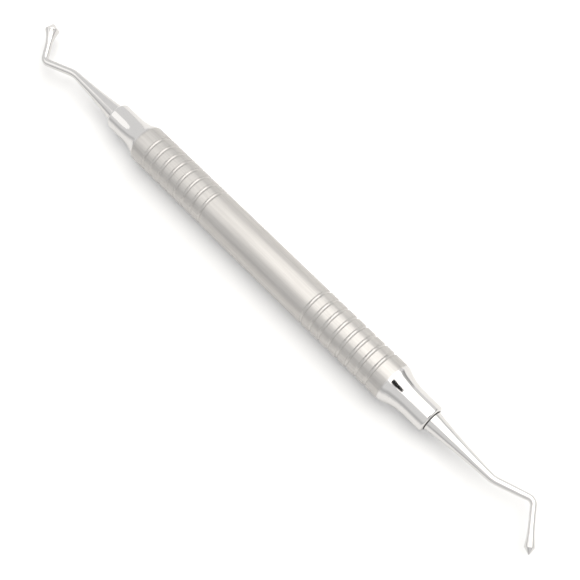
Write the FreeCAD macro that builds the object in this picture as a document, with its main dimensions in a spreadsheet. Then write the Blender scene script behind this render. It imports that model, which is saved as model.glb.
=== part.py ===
import FreeCAD, Part
import math
import os

import Sketcher

# A double-ended dental burnisher, in millimetres. The handle lies along X on the floor plane Z = 0,
# and both working ends bend in the horizontal plane through the handle's axis. Each piece is drawn
# round the X axis of its own body, and the body is then set down at its place.

# Alias, size, and what it measures. Angles are in degrees, everything else in millimetres.
SIZES = [
    ("handle_length", 104.0, "collar mouth to collar mouth"),
    ("handle_radius", 4.75, "full round of the grip, 9.5 mm across"),
    ("tube_wall", 1.0, "wall of the hollow grip"),
    ("neck_length", 11.3, "start of the shoulder to the collar mouth"),
    ("shoulder_radius", 2.5, "convex turn of the shoulder"),
    ("neck_radius", 12.0, "concave sweep of the neck into the collar"),
    ("collar_wall", 0.98, "socket bore to the outside of the collar"),
    ("lip_radius", 0.55, "rounded outer edge of the collar mouth"),
    ("socket_depth", 5.5, "length of the parallel socket bore"),
    ("socket_lead", 0.2, "lead-in chamfer at the socket mouth"),
    ("socket_clearance", 0.02, "radial play round the tang, filled by the joint"),
    ("groove_count", 8, "ring grooves in each group"),
    ("groove_pitch", 2.83, "from groove to groove"),
    ("groove_margin", 3.86, "outermost groove to the start of the shoulder"),
    ("groove_width", 0.95, "at the surface of the grip"),
    ("groove_depth", 0.22, "below the surface of the grip"),
    ("tang_length", 6.5, "part of the working end inside the handle"),
    ("tang_chamfer", 0.4, "on the hidden end of the tang"),
    ("tang_radius", 2.35, "tang, and foot of the shank at the mouth"),
    ("taper_length", 15.75, "mouth to the start of the first bend"),
    ("taper_sweep", 200.0, "hollow curve of the tapered shank"),
    ("taper_end_radius", 0.96, "shank where the first bend starts"),
    ("first_bend_radius", 7.8, "centre line"),
    ("reach_length", 6.4, "straight between the two bends"),
    ("second_bend_radius", 1.7, "centre line"),
    ("small_first_bend_turn", 18.8, "away from the handle axis"),
    ("small_second_bend_turn", 71.7, "back across the handle axis"),
    ("small_reach_start_radius", 0.88, "after the first bend"),
    ("small_reach_end_radius", 0.76, "before the second bend"),
    ("small_neck_radius", 0.69, "last straight of the small end"),
    ("small_neck_length", 3.2, "second bend to the start of the flare"),
    ("small_flare_radius", 32.0, "hollow curve of the flare"),
    ("small_rim_radius", 1.07, "widest place of the small acorn"),
    ("small_rim_round", 0.15, "rounded edge of the rim"),
    ("small_head_length", 1.45, "rim to the very tip"),
    ("small_tip_round", 0.15, "rounded point"),
    ("large_first_bend_turn", 19.9, "away from the handle axis"),
    ("large_second_bend_turn", 72.6, "back across the handle axis"),
    ("large_reach_start_radius", 0.93, "after the first bend"),
    ("large_reach_end_radius", 0.90, "before the second bend"),
    ("large_neck_radius", 0.87, "last straight of the large end"),
    ("large_neck_length", 3.45, "second bend to the start of the flare"),
    ("large_flare_radius", 9.0, "hollow curve of the flare"),
    ("large_rim_radius", 1.75, "widest place of the large acorn"),
    ("large_rim_round", 0.3, "rounded edge of the rim"),
    ("large_head_length", 1.8, "rim to the very tip"),
    ("large_tip_round", 0.55, "rounded point"),
]

# Places worked out from the sizes, used by more than one piece.
MOUTH = "sizes.handle_length / 2"
SHOULDER_START = "(sizes.handle_length / 2 - sizes.neck_length)"
SOCKET_RADIUS = "(sizes.tang_radius + sizes.socket_clearance)"
COLLAR_RADIUS = "(sizes.tang_radius + sizes.socket_clearance + sizes.collar_wall)"
CAVITY_RADIUS = "(sizes.handle_radius - sizes.tube_wall)"
GROOVE_ROUND = "((sizes.groove_width ^ 2 / 4 + sizes.groove_depth ^ 2) / (2 * sizes.groove_depth))"

# The sketcher's own numbers for the ends and centre of a curve, the axes and the origin.
START, END, CENTRE = range(1, 4)
HORIZONTAL_AXIS, VERTICAL_AXIS = range(-1, -3, -1)
ORIGIN_POINT = (HORIZONTAL_AXIS, START)

document = FreeCAD.newDocument("dental_burnisher")
sheet = document.addObject("Spreadsheet::Sheet", "sizes")
for row, (alias, size, note) in enumerate(SIZES, start=1):
    sheet.set("A%d" % row, note)
    sheet.set("B%d" % row, str(size))
    sheet.setAlias("B%d" % row, alias)
document.recompute()


def number(expression):
    """Value of an expression over the sheet, for a sketch's first guess."""
    return float(sheet.evalExpression(expression))


def origin_plane(body, role):
    for feature in body.Origin.OriginFeatures:
        if feature.Role == role:
            return feature
    raise ValueError("no origin plane " + role)


def new_sketch(body, name):
    """Empty sketch on the body's own horizontal plane."""
    sketch = body.newObject("Sketcher::SketchObject", name)
    sketch.AttachmentSupport = [(origin_plane(body, "XY_Plane"), "")]
    sketch.MapMode = "FlatFace"
    return sketch


def line(sketch, start, end):
    return sketch.addGeometry(Part.LineSegment(FreeCAD.Vector(*start, 0), FreeCAD.Vector(*end, 0)))


def arc(sketch, centre, radius, first_angle, last_angle):
    """Counter-clockwise arc between two angles in radians."""
    circle = Part.Circle(FreeCAD.Vector(*centre, 0), FreeCAD.Vector(0, 0, 1), radius)
    return sketch.addGeometry(Part.ArcOfCircle(circle, first_angle, last_angle))


def constrain(sketch, kind, *references):
    return sketch.addConstraint(Sketcher.Constraint(kind, *references))


def dimension(sketch, name, kind, references, expression):
    """Named sketch dimension driven by the sheet."""
    first_guess = number(expression)
    if kind == "Angle":
        first_guess = math.radians(first_guess)
        expression = "(%s) * 1 deg" % expression
    index = sketch.addConstraint(Sketcher.Constraint(kind, *references, first_guess))
    sketch.renameConstraint(index, name)
    sketch.setExpression("Constraints." + name, expression)


def join(sketch, lines):
    """Joins each line of a chain to the next one, end to start."""
    for first, second in zip(lines, lines[1:]):
        constrain(sketch, "Coincident", first, END, second, START)


def revolve(body, name, sketch, kind="PartDesign::Revolution"):
    feature = body.newObject(kind, name)
    feature.Profile = sketch
    feature.ReferenceAxis = (sketch, ["H_Axis"])
    feature.Angle = 360
    sketch.Visibility = False
    return feature


def handle_profile(body):
    """Section through one half of the handle: grip, shoulder, neck, collar, socket and cavity."""
    sketch = new_sketch(body, "handle_section")
    mouth = number(MOUTH)
    shoulder = number(SHOULDER_START)
    socket_end = mouth - number("sizes.socket_depth")
    outer = number("sizes.handle_radius")
    collar = number(COLLAR_RADIUS)
    socket = number(SOCKET_RADIUS)
    cavity = number(CAVITY_RADIUS)
    convex = number("sizes.shoulder_radius")
    concave = number("sizes.neck_radius")
    lip = number("sizes.lip_radius")
    lead = number("sizes.socket_lead")
    slope = math.acos(1 - (outer - collar) / (convex + concave))
    collar_start = shoulder + (convex + concave) * math.sin(slope)

    grip_line = line(sketch, (0, outer), (shoulder, outer))
    shoulder_arc = arc(sketch, (shoulder, outer - convex), convex, math.pi / 2 - slope, math.pi / 2)
    neck_arc = arc(sketch, (collar_start, collar + concave), concave,
                   -math.pi / 2 - slope, -math.pi / 2)
    collar_line = line(sketch, (collar_start, collar), (mouth - lip, collar))
    lip_arc = arc(sketch, (mouth - lip, collar - lip), lip, 0, math.pi / 2)
    face_line = line(sketch, (mouth, collar - lip), (mouth, socket + lead))
    lead_line = line(sketch, (mouth, socket + lead), (mouth - lead, socket))
    socket_line = line(sketch, (mouth - lead, socket), (socket_end, socket))
    inner_neck_line = line(sketch, (socket_end, socket), (shoulder, cavity))
    cavity_line = line(sketch, (shoulder, cavity), (0, cavity))
    middle_line = line(sketch, (0, cavity), (0, outer))

    join(sketch, [face_line, lead_line, socket_line, inner_neck_line, cavity_line, middle_line, grip_line])
    constrain(sketch, "Tangent", grip_line, END, shoulder_arc, END)
    constrain(sketch, "Tangent", shoulder_arc, START, neck_arc, START)
    constrain(sketch, "Tangent", neck_arc, END, collar_line, START)
    constrain(sketch, "Tangent", collar_line, END, lip_arc, END)
    constrain(sketch, "Tangent", lip_arc, START, face_line, START)
    for level_line in (grip_line, collar_line, socket_line, cavity_line):
        constrain(sketch, "Horizontal", level_line)
    for upright_line in (face_line, middle_line):
        constrain(sketch, "Vertical", upright_line)
    constrain(sketch, "PointOnObject", middle_line, START, VERTICAL_AXIS)

    origin = ORIGIN_POINT
    dimension(sketch, "grip_radius", "DistanceY", (*origin, grip_line, START), "sizes.handle_radius")
    dimension(sketch, "shoulder_start", "DistanceX", (*origin, grip_line, END), SHOULDER_START)
    dimension(sketch, "shoulder_round", "Radius", (shoulder_arc,), "sizes.shoulder_radius")
    dimension(sketch, "neck_sweep", "Radius", (neck_arc,), "sizes.neck_radius")
    dimension(sketch, "collar_radius", "DistanceY", (*origin, collar_line, END), COLLAR_RADIUS)
    dimension(sketch, "lip_round", "Radius", (lip_arc,), "sizes.lip_radius")
    dimension(sketch, "mouth", "DistanceX", (*origin, face_line, START), MOUTH)
    dimension(sketch, "socket_radius", "DistanceY", (*origin, socket_line, START), SOCKET_RADIUS)
    dimension(sketch, "lead_depth", "DistanceX", (lead_line, END, lead_line, START), "sizes.socket_lead")
    dimension(sketch, "lead_rise", "DistanceY", (lead_line, END, lead_line, START), "sizes.socket_lead")
    dimension(sketch, "socket_end", "DistanceX", (*origin, socket_line, END),
              MOUTH + " - sizes.socket_depth")
    dimension(sketch, "cavity_end", "DistanceX", (*origin, cavity_line, START), SHOULDER_START)
    dimension(sketch, "cavity_radius", "DistanceY", (*origin, cavity_line, START), CAVITY_RADIUS)
    return sketch


def groove_profile(body):
    """Round cutter that leaves one shallow ring groove in the grip."""
    sketch = new_sketch(body, "groove_section")
    place = SHOULDER_START + " - sizes.groove_margin"
    height = "sizes.handle_radius - sizes.groove_depth + " + GROOVE_ROUND
    centre = FreeCAD.Vector(number(place), number(height), 0)
    cutter = sketch.addGeometry(Part.Circle(centre, FreeCAD.Vector(0, 0, 1), number(GROOVE_ROUND)))
    dimension(sketch, "cutter_round", "Radius", (cutter,), GROOVE_ROUND)
    dimension(sketch, "groove_place", "DistanceX", (*ORIGIN_POINT, cutter, CENTRE), place)
    dimension(sketch, "cutter_height", "DistanceY", (*ORIGIN_POINT, cutter, CENTRE), height)
    return sketch


def make_handle():
    body = document.addObject("PartDesign::Body", "handle")
    body.Label = "handle"
    tube = revolve(body, "half_tube", handle_profile(body))
    document.recompute()
    ring = revolve(body, "outermost_groove", groove_profile(body), "PartDesign::Groove")
    document.recompute()

    rings = body.newObject("PartDesign::LinearPattern", "groove_group")
    rings.Originals = [ring]
    rings.Direction = (origin_plane(body, "X_Axis"), [""])
    rings.Reversed = True
    rings.setExpression("Length", "sizes.groove_pitch * (sizes.groove_count - 1)")
    rings.setExpression("Occurrences", "sizes.groove_count")
    body.Tip = rings
    document.recompute()

    whole = body.newObject("PartDesign::Mirrored", "second_half")
    whole.TransformMode = "Whole shape"
    whole.MirrorPlane = (origin_plane(body, "YZ_Plane"), [""])
    body.Tip = whole
    document.recompute()
    return body


def root_profile(body):
    """Section through the tang and the tapered shank, turned as one round."""
    sketch = new_sketch(body, "root_section")
    mouth = number(MOUTH)
    tang_end = mouth - number("sizes.tang_length")
    tang = number("sizes.tang_radius")
    chamfer = number("sizes.tang_chamfer")
    taper_end = mouth + number("sizes.taper_length")
    thin = number("sizes.taper_end_radius")
    sweep = number("sizes.taper_sweep")
    chord = math.hypot(taper_end - mouth, tang - thin)
    chord_angle = math.atan2(thin - tang, taper_end - mouth)
    half_turn = math.asin(chord / 2 / sweep)
    first_angle = chord_angle - math.pi / 2 - half_turn
    centre = (mouth - sweep * math.cos(first_angle), tang - sweep * math.sin(first_angle))

    axis_line = line(sketch, (taper_end, 0), (tang_end, 0))
    end_line = line(sketch, (tang_end, 0), (tang_end, tang - chamfer))
    chamfer_line = line(sketch, (tang_end, tang - chamfer), (tang_end + chamfer, tang))
    tang_line = line(sketch, (tang_end + chamfer, tang), (mouth, tang))
    taper_arc = arc(sketch, centre, sweep, first_angle, first_angle + 2 * half_turn)
    thin_line = line(sketch, (taper_end, thin), (taper_end, 0))

    join(sketch, [axis_line, end_line, chamfer_line, tang_line, taper_arc, thin_line, axis_line])
    constrain(sketch, "Horizontal", tang_line)
    constrain(sketch, "Vertical", end_line)
    constrain(sketch, "Vertical", thin_line)
    constrain(sketch, "PointOnObject", axis_line, START, HORIZONTAL_AXIS)
    constrain(sketch, "PointOnObject", axis_line, END, HORIZONTAL_AXIS)

    origin = ORIGIN_POINT
    dimension(sketch, "mouth", "DistanceX", (*origin, tang_line, END), MOUTH)
    dimension(sketch, "tang_length", "DistanceX", (end_line, START, tang_line, END), "sizes.tang_length")
    dimension(sketch, "tang_radius", "DistanceY", (*origin, tang_line, END), "sizes.tang_radius")
    dimension(sketch, "chamfer_depth", "DistanceX", (end_line, END, tang_line, START), "sizes.tang_chamfer")
    dimension(sketch, "chamfer_rise", "DistanceY", (end_line, END, tang_line, START), "sizes.tang_chamfer")
    dimension(sketch, "taper_length", "DistanceX", (taper_arc, START, taper_arc, END), "sizes.taper_length")
    dimension(sketch, "taper_sweep", "Radius", (taper_arc,), "sizes.taper_sweep")
    dimension(sketch, "taper_end", "DistanceY", (*origin, taper_arc, END), "sizes.taper_end_radius")
    return sketch


class Route:
    """Centre line of the bent shank, drawn step by step as tangent lines and arcs."""

    def __init__(self, sketch, start):
        self.sketch = sketch
        self.point = start
        self.heading = 0.0
        self.last = None
        self.edges = 0

    def attach(self, piece, place):
        """Joins a new piece to the end of the route, tangent to it."""
        if self.last is None:
            dimension(self.sketch, "route_start", "DistanceX", (*ORIGIN_POINT, piece, place),
                      MOUTH + " + sizes.taper_length")
            constrain(self.sketch, "PointOnObject", piece, place, HORIZONTAL_AXIS)
            constrain(self.sketch, "Vertical", piece, CENTRE, piece, place)
        else:
            constrain(self.sketch, "Tangent", *self.last, piece, place)
        self.edges += 1

    def straight(self, alias):
        """Adds a line of the named length and returns its edge name."""
        length = number("sizes." + alias)
        end = (self.point[0] + length * math.cos(self.heading),
               self.point[1] + length * math.sin(self.heading))
        piece = line(self.sketch, self.point, end)
        self.attach(piece, START)
        dimension(self.sketch, alias, "Distance", (piece,), "sizes." + alias)
        self.point = end
        self.last = (piece, END)
        return "Edge%d" % self.edges

    def bend(self, radius_alias, turn_alias, side):
        """Adds a bend, to the left for side 1 and to the right for side -1."""
        radius = number("sizes." + radius_alias)
        turn = math.radians(number("sizes." + turn_alias))
        centre = (self.point[0] - side * radius * math.sin(self.heading),
                  self.point[1] + side * radius * math.cos(self.heading))
        start_angle = self.heading - side * math.pi / 2
        end_angle = start_angle + side * turn
        first_angle, last_angle = sorted((start_angle, end_angle))
        piece = arc(self.sketch, centre, radius, first_angle, last_angle)
        near, far = (START, END) if side > 0 else (END, START)
        self.attach(piece, near)
        dimension(self.sketch, radius_alias, "Radius", (piece,), "sizes." + radius_alias)
        dimension(self.sketch, turn_alias, "Angle", (piece,), "sizes." + turn_alias)
        self.point = (centre[0] + radius * math.cos(end_angle), centre[1] + radius * math.sin(end_angle))
        self.heading += side * turn
        self.last = (piece, far)
        return "Edge%d" % self.edges


def place_on_route(sketch, route_sketch, edge, edge_end, mode):
    """Attaches a sketch to an edge of the route, at its start for edge_end 0 and its end for 1."""
    sketch.AttachmentSupport = [(route_sketch, edge)]
    sketch.MapMode = mode
    sketch.MapPathParameter = edge_end


def round_section(body, name, route_sketch, edge, edge_end, alias):
    """Round of the named radius, square to the route."""
    sketch = body.newObject("Sketcher::SketchObject", name)
    place_on_route(sketch, route_sketch, edge, edge_end, "NormalToEdge")
    circle = Part.Circle(FreeCAD.Vector(0, 0, 0), FreeCAD.Vector(0, 0, 1), number("sizes." + alias))
    outline = sketch.addGeometry(circle)
    constrain(sketch, "Coincident", outline, CENTRE, *ORIGIN_POINT)
    dimension(sketch, alias, "Radius", (outline,), "sizes." + alias)
    return sketch


def head_profile(body, end):
    """Half section of the flare and the acorn head, along X from the end of the route."""
    sketch = body.newObject("Sketcher::SketchObject", "head_section")
    neck = number("sizes.%s_neck_radius" % end)
    flare = number("sizes.%s_flare_radius" % end)
    rim = number("sizes.%s_rim_radius" % end)
    rim_round = number("sizes.%s_rim_round" % end)
    tip_round = number("sizes.%s_tip_round" % end)
    drop = flare + neck + rim_round - rim
    rim_place = math.sqrt((flare + rim_round) ** 2 - drop ** 2)
    tip_place = rim_place + number("sizes.%s_head_length" % end)
    flare_centre = (0, neck + flare)
    rim_centre = (rim_place, rim - rim_round)
    tip_centre = (tip_place - tip_round, 0)
    flare_end = math.atan2(rim_centre[1] - flare_centre[1], rim_centre[0] - flare_centre[0])
    run = tip_centre[0] - rim_centre[0]
    fall = tip_centre[1] - rim_centre[1]
    cone_normal = math.atan2(fall, run) + math.acos((rim_round - tip_round) / math.hypot(run, fall))

    def on_circle(centre, radius, angle):
        return (centre[0] + radius * math.cos(angle), centre[1] + radius * math.sin(angle))

    axis_line = line(sketch, (tip_place, 0), (0, 0))
    root_line = line(sketch, (0, 0), (0, neck))
    flare_arc = arc(sketch, flare_centre, flare, -math.pi / 2, flare_end)
    rim_arc = arc(sketch, rim_centre, rim_round, cone_normal, flare_end + math.pi)
    cone_line = line(sketch, on_circle(rim_centre, rim_round, cone_normal),
                     on_circle(tip_centre, tip_round, cone_normal))
    tip_arc = arc(sketch, tip_centre, tip_round, 0, cone_normal)

    join(sketch, [axis_line, root_line, flare_arc])
    constrain(sketch, "Coincident", root_line, START, *ORIGIN_POINT)
    constrain(sketch, "Vertical", root_line)
    constrain(sketch, "Vertical", root_line, END, flare_arc, CENTRE)
    constrain(sketch, "Tangent", flare_arc, END, rim_arc, END)
    constrain(sketch, "Tangent", rim_arc, START, cone_line, START)
    constrain(sketch, "Tangent", cone_line, END, tip_arc, END)
    constrain(sketch, "Coincident", tip_arc, START, axis_line, START)
    constrain(sketch, "PointOnObject", tip_arc, CENTRE, HORIZONTAL_AXIS)
    constrain(sketch, "PointOnObject", axis_line, START, HORIZONTAL_AXIS)

    origin = ORIGIN_POINT
    dimension(sketch, "neck_radius", "DistanceY", (*origin, root_line, END), "sizes.%s_neck_radius" % end)
    dimension(sketch, "flare_radius", "Radius", (flare_arc,), "sizes.%s_flare_radius" % end)
    dimension(sketch, "rim_height", "DistanceY", (*origin, rim_arc, CENTRE),
              "sizes.{0}_rim_radius - sizes.{0}_rim_round".format(end))
    dimension(sketch, "rim_round", "Radius", (rim_arc,), "sizes.%s_rim_round" % end)
    dimension(sketch, "head_length", "DistanceX", (rim_arc, CENTRE, axis_line, START),
              "sizes.%s_head_length" % end)
    dimension(sketch, "tip_round", "Radius", (tip_arc,), "sizes.%s_tip_round" % end)
    return sketch


def make_working_end(end):
    """Tang, tapered shank, two bends and an acorn head, forged and turned as one piece."""
    body = document.addObject("PartDesign::Body", "working_end_" + end)
    body.Label = "working_end_" + end
    revolve(body, "tang_and_taper", root_profile(body))
    document.recompute()

    route_sketch = new_sketch(body, "shank_route")
    route = Route(route_sketch, (number(MOUTH + " + sizes.taper_length"), 0))
    first_bend = route.bend("first_bend_radius", end + "_first_bend_turn", 1)
    route.straight("reach_length")
    second_bend = route.bend("second_bend_radius", end + "_second_bend_turn", -1)
    neck = route.straight(end + "_neck_length")
    document.recompute()

    start_section = round_section(body, "taper_end_section", route_sketch, first_bend, 0,
                                  "taper_end_radius")
    places = [
        ("reach_start_section", first_bend, 1, end + "_reach_start_radius"),
        ("reach_end_section", second_bend, 1, end + "_reach_end_radius"),
        ("neck_start_section", second_bend, 0, end + "_neck_radius"),
        ("neck_end_section", neck, 1, end + "_neck_radius"),
    ]
    later_sections = [round_section(body, name, route_sketch, edge, vertex, alias)
                      for name, edge, vertex, alias in places]
    document.recompute()

    shank = body.newObject("PartDesign::AdditivePipe", "bent_shank")
    shank.Profile = start_section
    shank.Spine = (route_sketch, ["Edge%d" % (index + 1) for index in range(route.edges)])
    shank.Sections = [(section, [""]) for section in later_sections]
    shank.Transformation = "Multisection"
    document.recompute()

    head_sketch = head_profile(body, end)
    place_on_route(head_sketch, route_sketch, second_bend, 0, "FrenetTN")
    half_turn = FreeCAD.Rotation(FreeCAD.Vector(0, 0, 1), 180)
    head_sketch.AttachmentOffset = FreeCAD.Placement(FreeCAD.Vector(0, 0, 0), half_turn)
    head_sketch.setExpression(".AttachmentOffset.Base.x", "-sizes.%s_neck_length" % end)
    document.recompute()
    revolve(body, "flare_and_head", head_sketch)
    document.recompute()
    return body


make_handle()
make_working_end("small")
large_end = make_working_end("large")
large_end.Placement.Rotation = FreeCAD.Rotation(FreeCAD.Vector(0, 0, 1), 180)
bodies = document.findObjects("PartDesign::Body")
for body in bodies:
    body.setExpression(".Placement.Base.z", "sizes.handle_radius")
document.recompute()

for thing in document.Objects:
    faults = {"Invalid", "Error"} & set(thing.State)
    if faults:
        raise RuntimeError("%s is in the state %s" % (thing.Name, ", ".join(faults)))

os.makedirs("parts", exist_ok=True)
for body in bodies:
    if body.Shape.isNull() or not body.Shape.isValid():
        raise RuntimeError("%s has no valid shape" % body.Label)
    body.Shape.exportStep("parts/%s.step" % body.Label)
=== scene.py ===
import math

import bpy
from mathutils import Matrix, Vector

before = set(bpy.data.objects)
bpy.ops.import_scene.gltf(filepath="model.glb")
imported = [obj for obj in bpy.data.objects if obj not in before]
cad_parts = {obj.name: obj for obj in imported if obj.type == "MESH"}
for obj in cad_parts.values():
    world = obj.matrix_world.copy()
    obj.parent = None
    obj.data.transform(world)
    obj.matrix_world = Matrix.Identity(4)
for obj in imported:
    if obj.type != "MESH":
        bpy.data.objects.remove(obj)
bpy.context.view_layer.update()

MM = 0.001

# The camera, fitted to the photo: its place and axes in the row frame, and its focal length.
CAMERA_PLACE = Vector((0.0829, -0.0247, 0.2172))
CAMERA_RIGHT = Vector((0.6782, 0.7189, -0.1525))
CAMERA_UP = Vector((-0.6605, 0.6873, 0.3023))
CAMERA_BACK = Vector((0.3221, -0.1043, 0.9409))
CAMERA_CLIP_START = 0.005
SENSOR_WIDTH_MM = 36.0
LENS_MM = 63.7
# Half a pixel of the 580, because the camera was fitted to the pixels' corners.
CAMERA_SHIFT = 0.5 / 580

# The lamps, in metres. Each faces the origin, which is under the middle of the handle, and its
# direction is seen from there. The main lamp and the side lamp light only metal, and the floor
# lamp lights everything but metal.
LAMP_COLOUR = (1.0, 0.975, 0.935)
LAMP_DISTANCE = 0.5
MAIN_LAMP_DIRECTION = Vector((0.11, 0.40, 0.91))
MAIN_LAMP_LENGTH = 0.60
MAIN_LAMP_WIDTH = 0.79
MAIN_LAMP_RADIANCE = 1.29
SIDE_LAMP_DIRECTION = Vector((-0.575, -0.236, 0.784))
SIDE_LAMP_LENGTH = 0.26
SIDE_LAMP_WIDTH = 0.345
SIDE_LAMP_RADIANCE = 0.45
FLOOR_LAMP_DIRECTION = Vector((0.11, 0.42, 0.90))
FLOOR_LAMP_LENGTH = 0.62
FLOOR_LAMP_WIDTH = 0.52
FLOOR_LAMP_RADIANCE = 2.75

# The room. The camera sees it white, reflections see a bright wall with two dim places, and all
# other light from it is at a lower level. Angles are about X, from straight up towards +Y, and
# the corner's reach is the X part of the direction at which the corner is fully dim.
WHITE = 1.0
ROOM_LIGHT = 0.544
BRIGHT_WALL = 0.832
DIM_WALL = 0.544
DIM_WALL_START = math.radians(-90)
DIM_WALL_MIDDLE = math.radians(-74)
DIM_WALL_END = math.radians(-54)
DIM_CORNER = 0.40
DIM_CORNER_START = math.radians(62)
DIM_CORNER_END = math.radians(80)
DIM_CORNER_REACH = 0.15

# The floor, in metres from the origin. The lifts are light that only the camera sees, and the
# gleam is light that only reflections see.
FLOOR_HALF_WIDTH = 1.5
FLOOR_COLOUR = (0.86, 0.86, 0.86, 1)
FLOOR_LIFT = 0.135
FAR_FLOOR_LIFT = 0.56
FAR_FLOOR_START = 0.14
FAR_FLOOR_END = 0.50
FLOOR_GLEAM = 0.02

# The dark card beside the camera, in metres. Its direction and distance are taken from the
# handle's axis at POLISH_START.
CARD_DIRECTION = Vector((0.520, -0.008, 0.854))
CARD_DISTANCE = 0.30
CARD_WIDTH = 0.12
CARD_LENGTH = 0.17
CARD_COLOUR = (0.02, 0.02, 0.02, 1)

# These two repeat CAD sizes: the axis above the origin, and a mouth from the handle's middle.
AXIS_HEIGHT = 4.75 * MM
COLLAR_MOUTH = 52.0 * MM

# The finish changes from satin to polished along each shoulder of the handle. Both places are
# measured from the middle of the finish, so the satin reaches a little further at the large end.
FINISH_MIDDLE = -0.3 * MM
SATIN_END = 40.6 * MM
POLISH_START = 41.1 * MM

# Radii on the handle between which the satin changes to the smoother finish of a groove's floor.
GROOVE_EDGE = 4.56 * MM
GROOVE_FLOOR = 4.535 * MM

# The painted shade of the crevice where a shank enters its collar fades out between these radii on
# the handle, and between these places along the shank, from the handle's middle.
MOUTH_CREVICE_SHADE = 2.57 * MM
MOUTH_CREVICE_SHADE_END = 2.61 * MM
SHANK_CREVICE_SHADE = COLLAR_MOUTH + 0.10 * MM
SHANK_CREVICE_SHADE_END = COLLAR_MOUTH + 0.24 * MM

SATIN_COLOUR = (0.580, 0.562, 0.540, 1)
GROOVE_COLOUR = (0.585, 0.568, 0.547, 1)
POLISHED_COLOUR = (0.750, 0.737, 0.726, 1)
# Near black: the painted shade of the crevice where a shank enters its collar.
CREVICE_SHADE_COLOUR = (0.045, 0.040, 0.036, 1)

# The streaks darken and lighten the satin by these factors, at the low and high values of the
# marks. The haze only darkens the polish.
STREAK_DARKEST = 0.93
STREAK_LIGHTEST = 1.06
STREAK_LOW = 0.25
STREAK_HIGH = 0.75
HAZE_DARKEST = 0.96

# The grain roughens the satin, and the haze roughens the shanks, each by up to its spread.
SATIN_SMOOTHEST = 0.38
SATIN_SPREAD = 0.08
GROOVE_ROUGHNESS = 0.30
NECK_ROUGHNESS = 0.12
SHANK_SMOOTHEST = 0.10
SHANK_SPREAD = 0.06
CREVICE_SHADE_ROUGHNESS = 0.55

# Fine marks: their number per metre along X, Y and Z, their detail, and the depth of relief.
STREAK_SCALE = (70, 2200, 2200)
STREAK_DETAIL = 4
GRAIN_SCALE = (1500, 5200, 5200)
GRAIN_DETAIL = 2
HAZE_SCALE = (450, 450, 450)
HAZE_DETAIL = 3
POLISHING_SCALE = (400, 3000, 3000)
POLISHING_DETAIL = 3
SATIN_RELIEF = 0.006 * MM
POLISHING_RELIEF = 0.001 * MM


def new_material(name):
    material = bpy.data.materials.new(name)
    material.use_nodes = True
    material.node_tree.nodes.clear()
    return material


def set_socket(owner, socket, value):
    """Links another node's output to an input socket, or writes a plain value into it."""
    if isinstance(value, bpy.types.NodeSocket):
        owner.node_tree.links.new(value, socket)
    else:
        socket.default_value = value


def add_node(owner, kind, **sockets):
    """Adds a node to a material or a world, and sets its input sockets by name."""
    node = owner.node_tree.nodes.new(kind)
    for name, value in sockets.items():
        set_socket(owner, node.inputs[name.replace("_", " ")], value)
    return node


def calculate(owner, operation, first, second=0.0):
    """Output of one step of arithmetic on values or on other nodes' outputs."""
    node = owner.node_tree.nodes.new("ShaderNodeMath")
    node.operation = operation
    set_socket(owner, node.inputs[0], first)
    set_socket(owner, node.inputs[1], second)
    return node.outputs[0]


def ramp(owner, value, start, end, low=0.0, high=1.0):
    """Goes smoothly from low, where the value is start, to high, where it is end."""
    node = add_node(owner, "ShaderNodeMapRange", Value=value, From_Min=start, From_Max=end,
                    To_Min=low, To_Max=high)
    node.interpolation_type = "SMOOTHSTEP"
    return node.outputs[0]


def blend_values(owner, share, first, second):
    """First where the share is 0, second where it is 1."""
    rest = calculate(owner, "SUBTRACT", 1.0, share)
    return calculate(owner, "ADD", calculate(owner, "MULTIPLY", rest, first),
                     calculate(owner, "MULTIPLY", share, second))


def blend_colours(owner, share, first, second):
    """First where the share is 0, second where it is 1."""
    node = owner.node_tree.nodes.new("ShaderNodeMix")
    node.data_type = "RGBA"
    for socket, value in ((node.inputs[0], share), (node.inputs[6], first), (node.inputs[7], second)):
        set_socket(owner, socket, value)
    return node.outputs[2]


def length_of(owner, vector):
    node = owner.node_tree.nodes.new("ShaderNodeVectorMath")
    node.operation = "LENGTH"
    set_socket(owner, node.inputs[0], vector)
    return node.outputs["Value"]


def shaded(colour, factor):
    return tuple(factor * part for part in colour[:3]) + (1,)


def marks(material, scale, detail):
    """Fine marks, as values from 0 to 1."""
    place = add_node(material, "ShaderNodeTexCoord")
    stretch = add_node(material, "ShaderNodeMapping", Vector=place.outputs["Object"], Scale=scale)
    noise = add_node(material, "ShaderNodeTexNoise", Vector=stretch.outputs[0], Scale=1.0,
                     Detail=detail)
    return noise.outputs[0]


def place_on_handle(material, middle):
    """Distance along the handle from the given middle, and distance from its axis."""
    place = add_node(material, "ShaderNodeTexCoord")
    parts = add_node(material, "ShaderNodeSeparateXYZ", Vector=place.outputs["Object"])
    from_middle = calculate(material, "SUBTRACT", parts.outputs[0], middle)
    along = calculate(material, "ABSOLUTE", from_middle)
    height = calculate(material, "SUBTRACT", parts.outputs[2], AXIS_HEIGHT)
    across = add_node(material, "ShaderNodeCombineXYZ", Y=parts.outputs[1], Z=height)
    return along, length_of(material, across.outputs[0])


def place_camera():
    data = bpy.data.cameras.new("camera")
    data.sensor_width = SENSOR_WIDTH_MM
    data.lens = LENS_MM
    data.clip_start = CAMERA_CLIP_START
    data.shift_x = -CAMERA_SHIFT
    data.shift_y = CAMERA_SHIFT
    camera = bpy.data.objects.new("camera", data)
    axes = Matrix((CAMERA_RIGHT, CAMERA_UP, CAMERA_BACK)).transposed().to_4x4()
    camera.matrix_world = Matrix.Translation(CAMERA_PLACE) @ axes
    bpy.context.scene.collection.objects.link(camera)
    bpy.context.scene.camera = camera


def make_panel(name, corners, material):
    """A flat panel with four corners."""
    mesh = bpy.data.meshes.new(name)
    mesh.from_pydata(corners, [], [(0, 1, 2, 3)])
    mesh.materials.append(material)
    panel = bpy.data.objects.new(name, mesh)
    bpy.context.scene.collection.objects.link(panel)
    return panel


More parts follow.
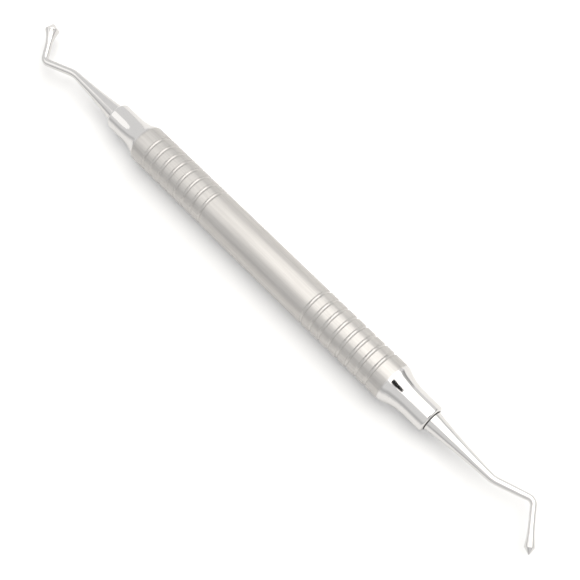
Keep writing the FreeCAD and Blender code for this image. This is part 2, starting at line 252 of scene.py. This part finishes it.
def make_dark_card():
    """A dark card beside the camera, seen only in reflections."""
    material = new_material("dark_card")
    black = add_node(material, "ShaderNodeBsdfDiffuse", Color=CARD_COLOUR)
    add_node(material, "ShaderNodeOutputMaterial", Surface=black.outputs[0])
    card_place = Vector((POLISH_START, 0, AXIS_HEIGHT)) + CARD_DIRECTION.normalized() * CARD_DISTANCE
    facing = CARD_DIRECTION.to_track_quat("Z", "Y").to_matrix()
    half_width = CARD_WIDTH / 2
    half_length = CARD_LENGTH / 2
    corners = [card_place + facing @ Vector((side * half_width, rise * half_length, 0))
               for side, rise in ((-1, -1), (1, -1), (1, 1), (-1, 1))]
    card = make_panel("dark_card", corners, material)
    card.visible_camera = False
    card.visible_diffuse = False
    card.visible_shadow = False


def make_floor():
    """A pale floor, which the camera sees whiter with distance."""
    material = new_material("floor")
    diffuse = add_node(material, "ShaderNodeBsdfDiffuse", Color=FLOOR_COLOUR)
    path = add_node(material, "ShaderNodeLightPath")
    place = add_node(material, "ShaderNodeTexCoord")
    distance = length_of(material, place.outputs["Object"])
    lift = ramp(material, distance, FAR_FLOOR_START, FAR_FLOOR_END, FLOOR_LIFT, FAR_FLOOR_LIFT)
    lift = calculate(material, "MULTIPLY", path.outputs["Is Camera Ray"], lift)
    gleam = calculate(material, "MULTIPLY", path.outputs["Is Glossy Ray"], FLOOR_GLEAM)
    glow = add_node(material, "ShaderNodeEmission", Strength=calculate(material, "ADD", lift, gleam))
    both = add_node(material, "ShaderNodeAddShader")
    set_socket(material, both.inputs[0], diffuse.outputs[0])
    set_socket(material, both.inputs[1], glow.outputs[0])
    add_node(material, "ShaderNodeOutputMaterial", Surface=both.outputs[0])
    edge = FLOOR_HALF_WIDTH
    corners = [(-edge, -edge, 0), (edge, -edge, 0), (edge, edge, 0), (-edge, edge, 0)]
    floor = make_panel("floor", corners, material)


def make_room():
    """A white room, where reflections see a dim low wall at -Y and a dim low corner at +X and +Y."""
    world = bpy.data.worlds.new("room")
    world.use_nodes = True
    world.node_tree.nodes.clear()
    direction = add_node(world, "ShaderNodeTexCoord")
    parts = add_node(world, "ShaderNodeSeparateXYZ", Vector=direction.outputs["Generated"])
    lean = calculate(world, "ARCTAN2", parts.outputs[1], parts.outputs[2])
    into_dim = ramp(world, lean, DIM_WALL_START, DIM_WALL_MIDDLE, BRIGHT_WALL, DIM_WALL)
    out_of_dim = ramp(world, lean, DIM_WALL_MIDDLE, DIM_WALL_END, DIM_WALL, BRIGHT_WALL)
    wall = calculate(world, "MAXIMUM", into_dim, out_of_dim)
    low = ramp(world, lean, DIM_CORNER_START, DIM_CORNER_END)
    near_end = ramp(world, parts.outputs[0], 0.0, DIM_CORNER_REACH)
    wall = blend_values(world, calculate(world, "MULTIPLY", low, near_end), wall, DIM_CORNER)
    path = add_node(world, "ShaderNodeLightPath")
    level = blend_values(world, path.outputs["Is Glossy Ray"], ROOM_LIGHT, wall)
    level = blend_values(world, path.outputs["Is Camera Ray"], level, WHITE)
    background = add_node(world, "ShaderNodeBackground", Color=(1, 1, 1, 1), Strength=level)
    add_node(world, "ShaderNodeOutputWorld", Surface=background.outputs[0])
    bpy.context.scene.world = world


def make_lamp(name, shape, direction, length, width, radiance):
    """A soft box that faces the origin, with its length along the handle."""
    data = bpy.data.lights.new(name, "AREA")
    data.shape = shape
    data.size = length
    data.size_y = width
    data.color = LAMP_COLOUR
    area = length * width * (math.pi / 4 if shape == "ELLIPSE" else 1)
    data.energy = radiance * math.pi * area
    lamp = bpy.data.objects.new(name, data)
    toward = direction.normalized()
    lamp.location = toward * LAMP_DISTANCE
    handle_axis = Vector((1, 0, 0))
    along = (handle_axis - toward * handle_axis.dot(toward)).normalized()
    lamp.rotation_euler = Matrix((along, toward.cross(along), toward)).transposed().to_euler()
    lamp.visible_camera = False
    bpy.context.scene.collection.objects.link(lamp)
    return lamp


def finish_steel(material, colour, roughness, relief, relief_depth):
    bump = add_node(material, "ShaderNodeBump", Strength=1.0, Distance=relief_depth, Height=relief)
    shader = add_node(material, "ShaderNodeBsdfPrincipled", Base_Color=colour, Metallic=1.0,
                      Roughness=roughness, Normal=bump.outputs[0])
    add_node(material, "ShaderNodeOutputMaterial", Surface=shader.outputs[0])


def satin_steel():
    """Steel brushed along the handle, smoother in the grooves and polished on the necks, with painted
    shade in the collars' mouths.
    """
    material = new_material("satin_steel")
    along, radius = place_on_handle(material, FINISH_MIDDLE)
    streaks = marks(material, STREAK_SCALE, STREAK_DETAIL)
    grain = marks(material, GRAIN_SCALE, GRAIN_DETAIL)
    polish = ramp(material, along, SATIN_END, POLISH_START)
    groove = ramp(material, radius, GROOVE_EDGE, GROOVE_FLOOR)
    # Painted shade in each collar's mouth, where the shank enters it.
    crevice_shade = ramp(material, radius, MOUTH_CREVICE_SHADE, MOUTH_CREVICE_SHADE_END, 1.0, 0.0)
    satin_share = calculate(material, "SUBTRACT", 1.0, polish)

    streak_share = ramp(material, streaks, STREAK_LOW, STREAK_HIGH)
    colour = blend_colours(material, streak_share, shaded(SATIN_COLOUR, STREAK_DARKEST),
                           shaded(SATIN_COLOUR, STREAK_LIGHTEST))
    colour = blend_colours(material, groove, colour, GROOVE_COLOUR)
    colour = blend_colours(material, polish, colour, POLISHED_COLOUR)
    colour = blend_colours(material, crevice_shade, colour, CREVICE_SHADE_COLOUR)

    roughness = calculate(material, "ADD", SATIN_SMOOTHEST,
                          calculate(material, "MULTIPLY", grain, SATIN_SPREAD))
    roughness = blend_values(material, groove, roughness, GROOVE_ROUGHNESS)
    roughness = blend_values(material, polish, roughness, NECK_ROUGHNESS)
    roughness = blend_values(material, crevice_shade, roughness, CREVICE_SHADE_ROUGHNESS)
    relief = calculate(material, "MULTIPLY", calculate(material, "ADD", streaks, grain), satin_share)
    finish_steel(material, colour, roughness, relief, SATIN_RELIEF)
    return material


def polished_steel():
    """Polished steel with faint marks of the polishing, and painted shade where it enters the handle.
    """
    material = new_material("polished_steel")
    along = place_on_handle(material, 0.0)[0]
    haze = marks(material, HAZE_SCALE, HAZE_DETAIL)
    polishing = marks(material, POLISHING_SCALE, POLISHING_DETAIL)
    # Painted shade on the shank just outside the collar's mouth.
    crevice_shade = ramp(material, along, SHANK_CREVICE_SHADE, SHANK_CREVICE_SHADE_END, 1.0, 0.0)
    colour = blend_colours(material, haze, shaded(POLISHED_COLOUR, HAZE_DARKEST), POLISHED_COLOUR)
    colour = blend_colours(material, crevice_shade, colour, CREVICE_SHADE_COLOUR)
    roughness = calculate(material, "ADD", SHANK_SMOOTHEST,
                          calculate(material, "MULTIPLY", haze, SHANK_SPREAD))
    roughness = blend_values(material, crevice_shade, roughness, CREVICE_SHADE_ROUGHNESS)
    finish_steel(material, colour, roughness, polishing, POLISHING_RELIEF)
    return material


def dress(node, material):
    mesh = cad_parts[node].data
    mesh.materials.clear()
    mesh.materials.append(material)


place_camera()
make_dark_card()
make_floor()
make_room()
main_lamp = make_lamp("main_lamp", "RECTANGLE", MAIN_LAMP_DIRECTION, MAIN_LAMP_LENGTH,
                      MAIN_LAMP_WIDTH, MAIN_LAMP_RADIANCE)
main_lamp.visible_diffuse = False
side_lamp = make_lamp("side_lamp", "ELLIPSE", SIDE_LAMP_DIRECTION, SIDE_LAMP_LENGTH,
                      SIDE_LAMP_WIDTH, SIDE_LAMP_RADIANCE)
side_lamp.visible_diffuse = False
floor_lamp = make_lamp("floor_lamp", "RECTANGLE", FLOOR_LAMP_DIRECTION, FLOOR_LAMP_LENGTH,
                       FLOOR_LAMP_WIDTH, FLOOR_LAMP_RADIANCE)
floor_lamp.visible_glossy = False
satin = satin_steel()
polished = polished_steel()
dress("handle", satin)
dress("working_end_small", polished)
dress("working_end_large", polished)
bpy.context.scene.view_settings.view_transform = "Standard"
